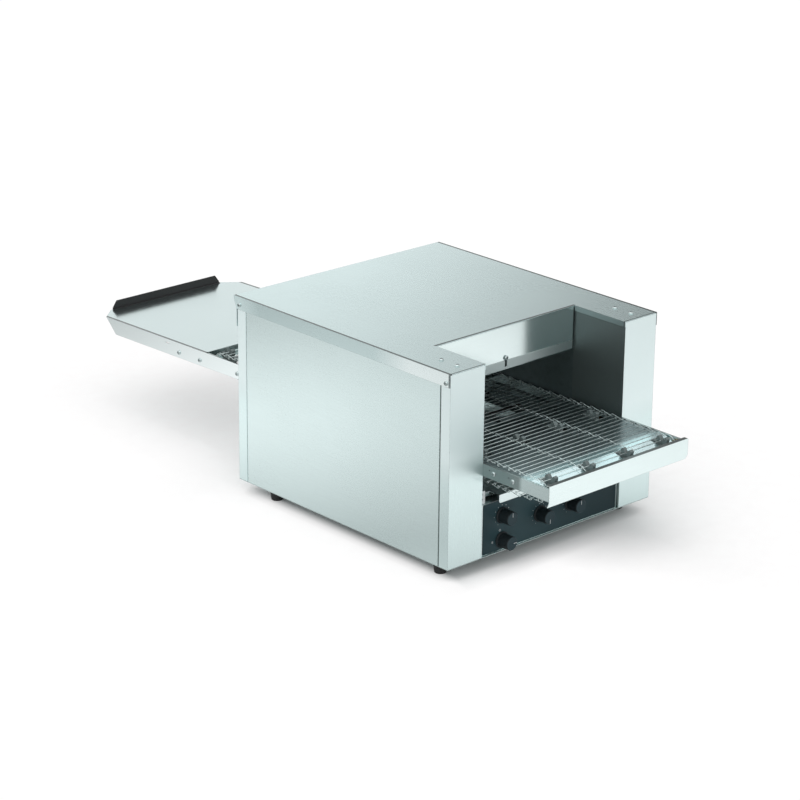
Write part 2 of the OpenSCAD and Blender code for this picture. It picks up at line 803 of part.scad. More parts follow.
module gearmotor() {
    color([0.3, 0.31, 0.33]) place() difference() {
        union() {
            box(gear_x, gear_x + gear_w, drive_y - gear_half, drive_y + gear_half,
                motor_z - gear_half, motor_z + gear_half);
            rod_y(gear_x + gear_w / 2, drive_y + gear_half, drive_y + gear_half + 90, motor_z, can_r);
            rod_y(gear_x + gear_w / 2, drive_y + gear_half + 90, drive_y + gear_half + 96, motor_z, 9);
        }
        rod_x(gear_x - 1, gear_x + 14, drive_y, motor_z, motor_shaft + fit);
    }
}

module motor_stand() {
    z1 = motor_z - gear_half;
    color([0.6, 0.63, 0.63]) place() {
        box(gear_x, gear_x + gear_w, drive_y - gear_half, drive_y + gear_half, z1 - 2, z1);
        for (y = [drive_y - gear_half, drive_y + gear_half - 2])
            box(gear_x, gear_x + gear_w, y, y + 2, sheet, z1 - 1);
    }
}

// Exit tray, drawn along its slope from the pivot at the rear of the housing

module tray_frame() {
    translate([0, tray_pivot_y, tray_pivot_z]) rotate([-tray_tilt, 0, 0]) children();
}

module exit_tray() {
    inset = tray_corner * 0.9;
    color([0.78, 0.82, 0.82]) place() difference() {
        tray_frame() {
            translate([0, 0, -sheet]) linear_extrude(sheet)
                polygon([[-wall_x, tray_plate_y0], [wall_x, tray_plate_y0], [wall_x, tray_y1 - inset],
                    [wall_x - tray_corner, tray_y1], [-wall_x + tray_corner, tray_y1],
                    [-wall_x, tray_y1 - inset]]);
            box(-recess_x, recess_x, tray_plate_y0, tray_plate_y0 + sheet, -tray_lip, 0);
            both() profile_x(recess_x + fit, wall_x)
                polygon([[tray_y0, -1], [tray_y0 + 6, 0], [tray_y1 - inset, 0],
                    [tray_y1 - inset - tray_flange, -tray_flange], [tray_y0, -tray_flange]]);
        }
        both() tray_frame() for (y = tray_screw_y)
            screw_hole_x(recess_x - 1, wall_x + 1, y, -tray_screw_drop);
        both() tray_frame() box(recess_x - 1, wall_x + 1, tray_slot_y, tray_slot_y + 12, -9, -7);
    }
}

module tray_stop() {
    half = wall_x - tray_corner - 4;
    color([0.08, 0.08, 0.09]) place() tray_frame() {
        translate([0, tray_y1 - 1, 0]) rotate([90, 0, 0]) linear_extrude(stop_t)
            polygon([[-half, 0], [half, 0], [half, 4], [half - 11, stop_h], [-half + 11, stop_h],
                [-half, 4]]);
        box(-half, half, tray_y1 - 6, tray_y1 - 2, 0, stop_t);
    }
}

module tray_screws() {
    color([0.6, 0.63, 0.64]) place() both() tray_frame()
        for (y = tray_screw_y) side_screw(1, wall_x, y, -tray_screw_drop, 6);
}

// Crumb tray

module crumb_runners() {
    color([0.6, 0.63, 0.63]) place() both()
        box(crumb_half - 26, crumb_half - 6, panel_in_y + 20, back_y - 20, deck_z + sheet, crumb_z);
}

module crumb_tray() {
    y0 = front_y - 4;
    y1 = panel_in_y + 16;
    y2 = back_y - 20;
    z1 = crumb_z + sheet;
    neck = crumb_half - 22;
    color([0.84, 0.87, 0.87]) place() {
        box(-crumb_half, crumb_half, y1, y2, crumb_z, z1);
        box(-neck, neck, y0, y1 + 1, crumb_z, z1);
        both() box(crumb_half - sheet, crumb_half, y1, y2, crumb_z, crumb_z + crumb_wall);
        box(-crumb_half, crumb_half, y2 - sheet, y2, crumb_z, crumb_z + crumb_wall);
        translate([0, y0, 0]) rotate([90, 0, 0]) linear_extrude(sheet)
            polygon([[-neck, z1], [-neck, z1 - crumb_lip + 3], [-neck + 3, z1 - crumb_lip],
                [neck - 3, z1 - crumb_lip], [neck, z1 - crumb_lip + 3], [neck, z1]]);
    }
}

// Controls

module control_panel() {
    color([0.78, 0.81, 0.82]) place() difference() {
        union() {
            box(-panel_half, panel_half, panel_y, panel_in_y, sheet, panel_h);
            box(-panel_half, panel_half, panel_y, panel_y + 24, panel_h - sheet, panel_h);
        }
        for (p = knob_pos) rod_y(p[0], panel_y - 1, panel_in_y + 1, p[1], switch_shaft + clear);
    }
}

module control_label() {
    color([0.16, 0.2, 0.22]) place() translate([0, panel_y, 0]) rotate([90, 0, 0])
        linear_extrude(label_t) difference() {
            translate([-recess_x + 7, 2]) rounded(2 * recess_x - 12, panel_h - 2.6, label_corner);
            for (p = knob_pos) translate(p) circle(r = switch_shaft + clear, $fn = 48);
        }
}

module panel_brackets() {
    y = panel_y + 3;
    color([0.75, 0.78, 0.79]) place() both() difference() {
        union() {
            box(crumb_half + 3, recess_x, y, y + sheet, panel_h, panel_h + 27);
            box(crumb_half + 3, recess_x, y, y + 12, panel_h, panel_h + sheet);
        }
        for (z = [10, 20]) rod_y((crumb_half + 3 + recess_x) / 2, y - 1, y + 3, panel_h + z, 2.2);
    }
}

module control_switches() {
    color([0.86, 0.85, 0.8]) place() for (p = knob_pos) {
        box(p[0] - 16, p[0] + 16, panel_in_y, panel_in_y + 28, p[1] - 16, p[1] + 16);
        rod_y(p[0], knob_y - knob_l * 0.7, panel_in_y + 1, p[1], switch_shaft);
        for (x = [-8, 8]) box(p[0] + x - 3, p[0] + x + 3, panel_in_y + 27, panel_in_y + 37,
            p[1] - 0.4, p[1] + 0.4);
    }
}

module knob(x, z, turn) {
    color([0.05, 0.05, 0.05]) place() translate([x, knob_y, z]) rotate([90, 0, 0]) rotate([0, 0, turn]) {
        difference() {
            rotate_extrude($fn = 72)
                polygon([[0, 0], [knob_r + 2, 0], [knob_r + 2, 2], [knob_r, 3.2],
                    [knob_r - 0.7, knob_l - 1], [knob_r - 1.7, knob_l], [0, knob_l]]);
            translate([0, 0, -1]) cylinder(h = knob_l * 0.7 + 1.6, r = switch_shaft + fit, $fn = 48);
        }
        translate([-0.8, 2, knob_l - 1]) cube([1.6, knob_r - 4, 1.4]);
    }
}

module upper_heat_knob() {
    knob(knob_x1, knob_z1, 0);
}

module lower_heat_knob() {
    knob(knob_x2, knob_z2, 180);
}

module belt_speed_knob() {
    knob(knob_x3, knob_z2, 0);
}

module power_knob() {
    knob(knob_x1, knob_z4, -90);
}

// Cooling and wiring

module fan_frame() {
    h = fan_size / 2;
    y1 = back_y - sheet;
    color([0.12, 0.12, 0.13]) place() {
        difference() {
            box(fan_x - h, fan_x + h, y1 - fan_d, y1, fan_z - h, fan_z + h);
            rod_y(fan_x, y1 - fan_d - 1, y1 + 1, fan_z, fan_bore);
        }
        for (a = [0, 90]) translate([fan_x, y1 - fan_d, fan_z]) rotate([0, a, 0])
            box(-fan_bore - 1, fan_bore + 1, 0, 3, -2.5, 2.5);
        rod_y(fan_x, y1 - fan_d, y1 - fan_d + 3, fan_z, fan_hub_r);
        rod_y(fan_x, y1 - fan_d + 2, y1 - fan_d + 16, fan_z, fan_pin_r);
    }
}

module fan_rotor() {
    y0 = back_y - sheet - fan_d + 3.6;
    color([0.15, 0.15, 0.16]) place() translate([fan_x, y0, fan_z]) difference() {
        union() {
            rod_y(0, 0, 17, 0, fan_hub_r);
            for (i = [0 : blades - 1]) rotate([0, i * 360 / blades, 0]) translate([fan_hub_r - 2, 8.5, 0])
                rotate([38, 0, 0]) box(0, fan_bore - fan_hub_r, -0.6, 0.6, -9, 9);
        }
        rod_y(0, -1, 13.4, 0, fan_pin_r + fit);
    }
}

module speed_board() {
    color([0.1, 0.3, 0.18]) place() {
        box(-20, 80, board_y, board_y + 80, sheet + 8, sheet + 9.6);
        for (x = [-14, 74], y = [6, 74]) rod_z(x, board_y + y, sheet, sheet + 8.5, 3);
        box(-8, 28, board_y + 12, board_y + 40, sheet + 9, sheet + 34);
        box(40, 72, board_y + 20, board_y + 70, sheet + 9, sheet + 24);
    }
}

module terminal_block() {
    color([0.88, 0.87, 0.83]) place() difference() {
        box(gland_x - 40, gland_x + 40, block_y, block_y + 24, sheet, sheet + 22);
        for (i = [0 : 4]) translate([gland_x - 37 + i * 15.6, block_y, sheet])
            box(0, 12, -1, 7, 10, 23);
    }
}

module cord_gland() {
    color([0.1, 0.1, 0.1]) place() difference() {
        union() {
            rod_y(gland_x, back_y - sheet - 14, back_y + 6, gland_z, gland_r + 3);
            translate([gland_x, back_y + 5, gland_z]) rotate([90, 0, 0])
                cylinder(h = 5, r = gland_r + 7, $fn = 6);
            translate([gland_x, back_y + 16, gland_z]) rotate([90, 0, 0])
                cylinder(h = 11, r1 = gland_r + 3, r2 = gland_r + 5, $fn = 48);
            translate([gland_x, back_y - sheet, gland_z]) rotate([90, 0, 0])
                cylinder(h = 5, r = gland_r + 7, $fn = 6);
        }
        rod_y(gland_x, back_y - 40, back_y + 40, gland_z, gland_r);
    }
}

base_pan();
feet();
front_left_column();
front_right_column();
left_side_panel();
right_side_panel();
rear_panel();
top_cover();
cover_screws();
entry_header();
entry_baffle();
entry_baffle_screw();
exit_baffle();
exit_baffle_screw();
left_tunnel_wall();
right_tunnel_wall();
roof_sheet();
roof_lagging();
deck_plate();
upper_heaters();
lower_heaters();
limit_thermostat();
left_rail();
right_rail();
front_guard();
load_plate();
belt_supports();
rail_screws();
shaft_bushings();
belt_upper_run();
belt_return_run();
front_shaft();
front_sprockets();
rear_shaft();
rear_sprockets();
drive_shaft();
drive_sprockets();
drive_pulley();
drive_belt();
motor_pulley();
gearmotor();
motor_stand();
exit_tray();
tray_stop();
tray_screws();
crumb_runners();
crumb_tray();
control_panel();
control_label();
panel_brackets();
control_switches();
upper_heat_knob();
lower_heat_knob();
belt_speed_knob();
power_knob();
fan_frame();
fan_rotor();
speed_board();
terminal_block();
cord_gland();
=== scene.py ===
"""Looks of a countertop conveyor oven: finishes, round-wire belt, toothed wheels, dial marks, stage.

Row frame in metres: X across the belt, Y along it from the entry to the exit, Z up.
"""

import json
import math

import bmesh
import bpy
from mathutils import Matrix, Vector


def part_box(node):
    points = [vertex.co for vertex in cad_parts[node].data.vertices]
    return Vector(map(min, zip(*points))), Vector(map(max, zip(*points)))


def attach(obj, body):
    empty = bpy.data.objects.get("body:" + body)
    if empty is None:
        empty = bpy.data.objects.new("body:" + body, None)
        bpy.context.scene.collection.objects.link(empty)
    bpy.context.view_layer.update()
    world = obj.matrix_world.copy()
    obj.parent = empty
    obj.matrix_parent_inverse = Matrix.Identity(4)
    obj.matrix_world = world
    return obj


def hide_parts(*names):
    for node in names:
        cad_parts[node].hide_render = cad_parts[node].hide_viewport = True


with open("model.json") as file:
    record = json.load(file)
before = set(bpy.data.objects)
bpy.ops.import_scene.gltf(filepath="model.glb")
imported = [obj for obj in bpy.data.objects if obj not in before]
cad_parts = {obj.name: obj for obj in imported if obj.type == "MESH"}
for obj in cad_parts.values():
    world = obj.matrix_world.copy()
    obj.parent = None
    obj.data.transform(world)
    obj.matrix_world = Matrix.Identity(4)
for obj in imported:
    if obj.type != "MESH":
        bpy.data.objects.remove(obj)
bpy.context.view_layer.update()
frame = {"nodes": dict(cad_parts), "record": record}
MM = 0.001

# Belt: pitch, places and sag are those of the part's source, and the wire is thinner here
PITCH = 14.29 * MM
WIRE_R = 0.62 * MM
WIRE_SIDES = 10
TEETH = 8
BELT_R = PITCH / (2 * math.sin(math.pi / TEETH))
BELT_N = 66
BELT_HALF = 179.3 * MM
DRIVE_N = 13
BELT_SAG = 7 * MM
SHAFT_Z = (178.329 + 30) * MM
FRONT_SHAFT_Y = (-456 - 206.77) * MM
REAR_SHAFT_Y = (487.14 - 206.77) * MM

# Hooks in four rows: each starts at its own wire, rises and curls round the next one
ROW_X = [-175.3 * MM, -69.03 * MM, 69.03 * MM, 175.3 * MM]
HOOK_R = [3.0 * MM, 2.3 * MM, 2.3 * MM, 3.0 * MM]
HOOK_SHIFT = 2.2 * MM
HOOK_WIRE_R = 0.55 * MM
HOOK_SIDES = 8
HOOK_ROOT_Y = -0.4 * MM
HOOK_ROOT_Z = 0.2 * MM
HOOK_RISE_Y = PITCH * 0.4
CURL_START = 100
CURL_SWEEP = 240
CURL_POINTS = 10

# Toothed wheels, each on a drum
SPROCKET_X = [-152.4 * MM, -52 * MM, 52 * MM, 152.4 * MM]
SPROCKET_W = 20 * MM
WHEEL_W = 8 * MM
DRUM_R = 9 * MM
DRUM_SIDES = 48
# One flank of a tooth from its root: degrees from its middle, mm outside the circle of the wires
FLANK = [(18.5, -1.6), (16, 1), (12, 4.4), (9.6, 5.6), (8.6, 7.2), (6.5, 8.4), (3, 8.8)]

# Dials: body, centre x and z, pointer angle from upright, clockwise seen from the front
DIALS = {
    "upper_heat_dial": (-0.132, 0.103, 0),
    "lower_heat_dial": (-0.030, 0.078, 180),
    "belt_speed_dial": (0.056, 0.078, 0),
    "power_dial": (-0.132, 0.052, 90),
}
POINTER_START = 4.2 * MM
POINTER_END = 11.8 * MM
POINTER_W = 1.1 * MM
POINTER_PROUD = 0.12 * MM
POINTER_SUNK = 0.2 * MM

# Printed marks: dots that grow round a dial, and the switch's ring for off and barred ring for on
PRINT_SUNK = 0.02 * MM
PRINT_H = 0.1 * MM
MARK_REACH = 20.5 * MM
DOT_N = 11
DOT_START = -150
DOT_STEP = 30
DOT_R = 0.55 * MM
DOT_GROWTH = 0.05 * MM
DOT_SIDES = 16
RING_SIDES = 32
BAR_END_POINTS = 7
OFF_X = -5 * MM
OFF_R = 1.6 * MM
OFF_W = 0.8 * MM
ON_X = -24.6 * MM
ON_R = 1.4 * MM
ON_W = 0.6 * MM
ON_BAR = (1.0 * MM, 2.6 * MM, 0.8 * MM)

# The viewing angle; the screen stands square to its azimuth
VIEW_AZIMUTH = math.radians(-42.61)
VIEW_ELEVATION = math.radians(20.24)
VIEW_ROLL = math.radians(0.57)
CAMERA_PLACE = (-3.47207, -3.85562, 2.07444)


def scaled(colour, factor):
    """A colour made lighter or darker."""
    return tuple(min(1, c * factor) for c in colour)


class Graph:
    """A material's node tree with short calls for the nodes used here."""

    # Cosine of the bend at which an edge shows in full, and at which it no longer shows
    EDGE_BEND = (0.75, 0.995)
    # Least share of X in the normal of a face that looks across the belt
    FACING = 0.7

    def __init__(self, name):
        self.material = bpy.data.materials.new(name)
        self.material.use_nodes = True
        self.tree = self.material.node_tree
        self.tree.nodes.clear()
        self.shader = self.add("ShaderNodeBsdfPrincipled")
        output = self.add("ShaderNodeOutputMaterial")
        self.link(self.shader.outputs[0], output.inputs[0])
        self.place = self.add("ShaderNodeTexCoord").outputs["Object"]

    def add(self, kind, **values):
        """A new node, with attributes set by name."""
        node = self.tree.nodes.new(kind)
        for key, value in values.items():
            setattr(node, key, value)
        return node

    def link(self, source, target):
        self.tree.links.new(source, target)

    def put(self, socket, value):
        """Links a socket to a value that is an output, or sets it."""
        if isinstance(value, bpy.types.NodeSocket):
            self.link(value, socket)
        else:
            socket.default_value = value

    def set(self, **values):
        """Sets or links the shader's inputs, named with _ for a space."""
        for key, value in values.items():
            self.put(self.shader.inputs[key.replace("_", " ")], value)

    def noise(self, scale, detail=3.0, stretch=(1, 1, 1), rough=0.55):
        """Noise over the row frame, stretched by axis."""
        mapping = self.add("ShaderNodeMapping")
        self.link(self.place, mapping.inputs["Vector"])
        mapping.inputs["Scale"].default_value = stretch
        texture = self.add("ShaderNodeTexNoise")
        self.link(mapping.outputs[0], texture.inputs["Vector"])
        texture.inputs["Scale"].default_value = scale
        texture.inputs["Detail"].default_value = detail
        texture.inputs["Roughness"].default_value = rough
        return texture.outputs["Fac"]

    def remap(self, value, low, high, start=0.3, end=0.7):
        """A value from one range to another, held inside it."""
        node = self.add("ShaderNodeMapRange")
        self.link(value, node.inputs["Value"])
        node.inputs["From Min"].default_value = start
        node.inputs["From Max"].default_value = end
        node.inputs["To Min"].default_value = low
        node.inputs["To Max"].default_value = high
        return node.outputs[0]

    def ramp(self, letter, low, high, start, end):
        """A value that changes between two places on an axis of the row frame."""
        return self.remap(self.axis(letter), low, high, start, end)

    def mix(self, factor, first, second):
        """A blend of two colours."""
        node = self.add("ShaderNodeMix", data_type="RGBA")
        self.put(node.inputs["Factor"], factor)
        for socket, value in ((node.inputs[6], first), (node.inputs[7], second)):
            self.put(socket, value if isinstance(value, bpy.types.NodeSocket) else (*value, 1))
        return node.outputs[2]

    def math(self, operation, first, second=0.0):
        """A sum on two values, or on one where the operation takes one."""
        node = self.add("ShaderNodeMath", operation=operation)
        self.put(node.inputs[0], first)
        self.put(node.inputs[1], second)
        return node.outputs[0]

    def bump(self, height, strength, distance, normal=None):
        """The normal moved by a height."""
        node = self.add("ShaderNodeBump")
        node.inputs["Strength"].default_value = strength
        node.inputs["Distance"].default_value = distance
        self.link(height, node.inputs["Height"])
        if normal is not None:
            self.link(normal, node.inputs["Normal"])
        return node.outputs[0]

    def edges(self, radius):
        """The normal rounded over the edges, and how far each point is into such an edge."""
        rounded = self.add("ShaderNodeBevel", samples=4)
        rounded.inputs["Radius"].default_value = radius
        flat = self.add("ShaderNodeNewGeometry").outputs["Normal"]
        dot = self.add("ShaderNodeVectorMath", operation="DOT_PRODUCT")
        self.link(rounded.outputs[0], dot.inputs[0])
        self.link(flat, dot.inputs[1])
        return rounded.outputs[0], self.remap(dot.outputs["Value"], 1, 0, *self.EDGE_BEND)

    def axis(self, letter, vector=None):
        """One coordinate of a vector, by default of the place in the row frame."""
        parts = self.add("ShaderNodeSeparateXYZ")
        self.link(vector or self.place, parts.inputs[0])
        return parts.outputs[letter]

    def within(self, value, low, high):
        """One where a value lies between two limits, zero elsewhere."""
        above = self.math("GREATER_THAN", value, low)
        return self.math("MULTIPLY", above, self.math("LESS_THAN", value, high))

    def across(self, low, high):
        """One on faces that look along X and lie between two distances from the middle."""
        normal = self.add("ShaderNodeNewGeometry").outputs["Normal"]
        facing = self.math("GREATER_THAN", self.math("ABSOLUTE", self.axis("X", normal)), self.FACING)
        return self.math("MULTIPLY", self.within(self.aside(), low, high), facing)

    def aside(self):
        """Distance from the middle plane."""
        return self.math("ABSOLUTE", self.axis("X"))


def brushed_steel(name, colour, grain, rough=0.3, faces=(), zone=None, folds=()):
    """Rolled steel sheet: fine grain along one axis, soft handling marks and painted shade on its edges.

    zone lightens or darkens a band with painted light and shade: an axis, the two places between which
    it sets in, its shade and how much rougher it is.
    faces are the faces that look across the belt, lightened or darkened with painted light and shade:
    two distances from the middle, the two places along the belt between which it sets in, a shade and
    how much rougher they are.
    folds are painted shade lines along bends and seams: an axis, a place on it (for X a distance from
    the middle), the limits along the other axis, and half the line's width.
    """
    g = Graph(name)
    along = {"x": (0.03, 1, 1), "y": (1, 0.03, 1), "z": (1, 1, 0.03)}[grain]
    fine = g.noise(1600, detail=2, stretch=along)
    streak = g.noise(420, detail=4, stretch=along)
    cloud = g.noise(5)
    tone = g.mix(g.remap(streak, 0, 1), scaled(colour, 0.97), colour)
    tone = g.mix(g.remap(cloud, 0, 0.5), tone, scaled(colour, 0.93))
    skin = g.remap(g.math("ADD", fine, cloud), rough - 0.02, rough + 0.03, 0.6, 1.4)
    # Painted light and shade: the zone and the faces lighten or darken the colour
    shades = []
    if zone is not None:
        axis, start, end, shade, rougher = zone
        shades.append((g.ramp(axis, 0, 1, start, end), shade, rougher))
    for low, high, start, end, shade, rougher in faces:
        inside = g.math("MULTIPLY", g.across(low, high), g.ramp("Y", 0, 1, start, end))
        shades.append((inside, shade, rougher))
    for inside, shade, rougher in shades:
        tone = g.mix(inside, tone, scaled(colour, shade))
        skin = g.math("ADD", skin, g.math("MULTIPLY", inside, rougher))
    # Painted shade lines along bends and seams
    for axis, middle, low, high, half in folds:
        measured, other = (g.aside(), g.axis("Y")) if axis == "X" else (g.axis("Y"), g.aside())
        away = g.math("ABSOLUTE", g.math("SUBTRACT", measured, middle))
        line = g.math("MULTIPLY", g.remap(away, 1, 0, half * 0.65, half), g.within(other, low, high))
        tone = g.mix(line, tone, scaled(colour, 0.16))
    # Painted shade along the edges and bends
    normal, shaded_edge = g.edges(1 * MM)
    g.set(Base_Color=g.mix(g.math("MULTIPLY", shaded_edge, 0.9), tone, scaled(colour, 0.12)))
    g.set(Metallic=1.0, Roughness=skin)
    g.set(Normal=g.bump(fine, strength=0.015, distance=0.04 * MM, normal=normal))
    return g.material


def heated_steel(name, colour, tint, rough=0.42, metal=1.0):
    """Steel that has been hot: uneven tints and a dull skin."""
    g = Graph(name)
    cloud = g.noise(9, detail=4)
    spots = g.noise(60)
    tone = g.mix(g.remap(cloud, 0, 1), colour, tint)
    tone = g.mix(g.remap(spots, 0, 0.4, 0.5, 0.75), tone, scaled(colour, 0.6))
    normal, worn = g.edges(0.6 * MM)
    g.set(Base_Color=g.mix(worn, tone, scaled(colour, 1.5)), Metallic=metal)
    g.set(Roughness=g.remap(spots, rough - 0.08, rough + 0.1))
    g.set(Normal=g.bump(g.noise(420), strength=0.08, distance=0.1 * MM, normal=normal))
    return g.material


def turned_steel(name, colour, rough=0.3):
    """Turned bar: fine rings across the X axis, and painted shade round its edges."""
    g = Graph(name)
    rings = g.noise(2200, detail=2, stretch=(1, 0.05, 0.05))
    stain = g.noise(24)
    tone = g.mix(g.remap(stain, 0, 0.5), colour, scaled(colour, 0.7))
    # Painted shade round the edges, such as the dark rings round the screw heads
    normal, shaded_rim = g.edges(0.7 * MM)
    g.set(Base_Color=g.mix(shaded_rim, tone, scaled(colour, 0.06)), Metallic=1.0)
    g.set(Roughness=g.remap(rings, rough - 0.06, rough + 0.08))
    g.set(Normal=g.bump(rings, strength=0.06, distance=0.05 * MM, normal=normal))
    return g.material


def coated(name, colour, worn_colour, rough, grain=600, bump=0.08, metallic=0.0):
    """Paint, rubber, cast or moulded plastic: fine texture, soft blotches and rubbed edges."""
    g = Graph(name)
    cloud = g.noise(18)
    fine = g.noise(grain)
    tone = g.mix(g.remap(cloud, 0, 1), colour, scaled(colour, 0.75))
    normal, worn = g.edges(0.8 * MM)
    g.set(Base_Color=g.mix(worn, tone, worn_colour), Metallic=metallic)
    g.set(Roughness=g.remap(fine, rough - 0.06, rough + 0.08))
    g.set(Normal=g.bump(fine, strength=bump, distance=0.1 * MM, normal=normal))
    return g.material


def fibre(name, colour):
    """Matted mineral wool."""
    g = Graph(name)
    strands = g.noise(260, detail=5, stretch=(1, 0.15, 1), rough=0.7)
    tone = g.mix(g.remap(strands, 0, 1), colour, scaled(colour, 0.6))
    g.set(Base_Color=tone, Roughness=0.95)
    g.set(Normal=g.bump(strands, strength=0.5, distance=1 * MM))
    return g.material


def knob_plastic(name, centre_x, centre_z, face_y):
    """Black grip with fine flutes round its side and a slate-grey end face."""
    flute_n = 48.0
    grip_colour = (0.007, 0.011, 0.013)
    grip_pale = (0.013, 0.019, 0.021)
    grip_worn = (0.075, 0.085, 0.09)
    face_colour = (0.017, 0.042, 0.052)
    g = Graph(name)
    angle = g.math("ARCTAN2", g.math("SUBTRACT", g.axis("Z"), centre_z),
                   g.math("SUBTRACT", g.axis("X"), centre_x))
    flutes = g.math("SINE", g.math("MULTIPLY", angle, flute_n))
    fine = g.noise(900)
    face = g.ramp("Y", 1, 0, face_y - 0.1 * MM, face_y + 0.6 * MM)
    normal, worn = g.edges(0.9 * MM)
    grip = g.mix(g.remap(fine, 0, 1), grip_colour, grip_pale)
    tone = g.mix(g.math("MULTIPLY", worn, 0.5), grip, grip_worn)
    g.set(Base_Color=g.mix(face, tone, face_colour))
    g.set(Roughness=g.remap(fine, 0.38, 0.5), Specular_IOR_Level=0.25)
    height = g.math("MULTIPLY", flutes, g.math("SUBTRACT", 1.0, face))
    height = g.math("ADD", height, g.math("MULTIPLY", fine, 0.4))
    g.set(Normal=g.bump(height, strength=0.25, distance=0.3 * MM, normal=normal))
    return g.material


def label_film(name):
    """Printed polyester film: slate, slightly grained, with painted shade towards its ends."""
    left_end = (0.014, 0.032, 0.038)
    middle = (0.034, 0.069, 0.079)
    right_end = (0.010, 0.025, 0.030)
    patches = (0.034, 0.064, 0.073)
    g = Graph(name)
    fine = g.noise(1500, detail=2)
    cloud = g.noise(6, detail=2)
    # Painted light and shade: paler in the middle, darker towards the ends
    tone = g.mix(g.ramp("X", 0, 1, -0.19, -0.13), left_end, middle)
    tone = g.mix(g.ramp("X", 0, 1, -0.08, 0.19), tone, right_end)
    tone = g.mix(g.remap(cloud, 0, 0.2), tone, patches)
    g.set(Base_Color=tone, Roughness=g.remap(fine, 0.36, 0.48), Specular_IOR_Level=0.14)
    g.set(Normal=g.bump(fine, strength=0.06, distance=0.04 * MM))
    return g.material


def print_ink(name, colour):
    """Screen print: nearly white, thin in places."""
    g = Graph(name)
    thin = g.noise(1800)
    g.set(Base_Color=g.mix(g.remap(thin, 0, 1), colour, scaled(colour, 0.8)))
    g.set(Roughness=g.remap(thin, 0.45, 0.6))
    return g.material


def circuit_board(name):
    """Green solder mask with paler traces."""
    mask = (0.015, 0.09, 0.04)
    trace = (0.05, 0.2, 0.09)
    g = Graph(name)
    traces = g.add("ShaderNodeTexBrick")
    g.link(g.place, traces.inputs["Vector"])
    traces.inputs["Scale"].default_value = 160
    traces.inputs["Mortar Size"].default_value = 0.03
    tone = g.mix(traces.outputs["Fac"], mask, trace)
    g.set(Base_Color=tone, Roughness=g.remap(g.noise(300), 0.25, 0.4))
    return g.material


# Sheet colours: lit and shaded copies of one steel, painted light and shade for each part
STEEL = (0.77, 0.90, 0.895)
LIT_STEEL = (0.87, 0.985, 0.98)
TOP_STEEL = (0.70, 0.85, 0.85)
FRONT_STEEL = (0.80, 0.95, 0.945)
RAIL_STEEL = (0.66, 0.775, 0.77)
TRAY_STEEL = (0.56, 0.665, 0.665)
# Painted shade and dark reflection: the load plate under the belt
SHADED_PLATE_STEEL = (0.20, 0.25, 0.26)

# Where the fronts of the hood and of the housing stand, and how far from the middle plane the side
# faces of the recess, the exit tray's flanges and the outer sides lie
HOOD_Y = -0.3848
FRONT_Y = -0.5198
RECESS = (0, 0.1915)
TRAY_SIDES = (0, 0.2)
OUTER_SIDES = (0.27, 0.3)
# Start and end of a shade that holds along the whole oven: both lie in front of it
WHOLE = (-9, -8)

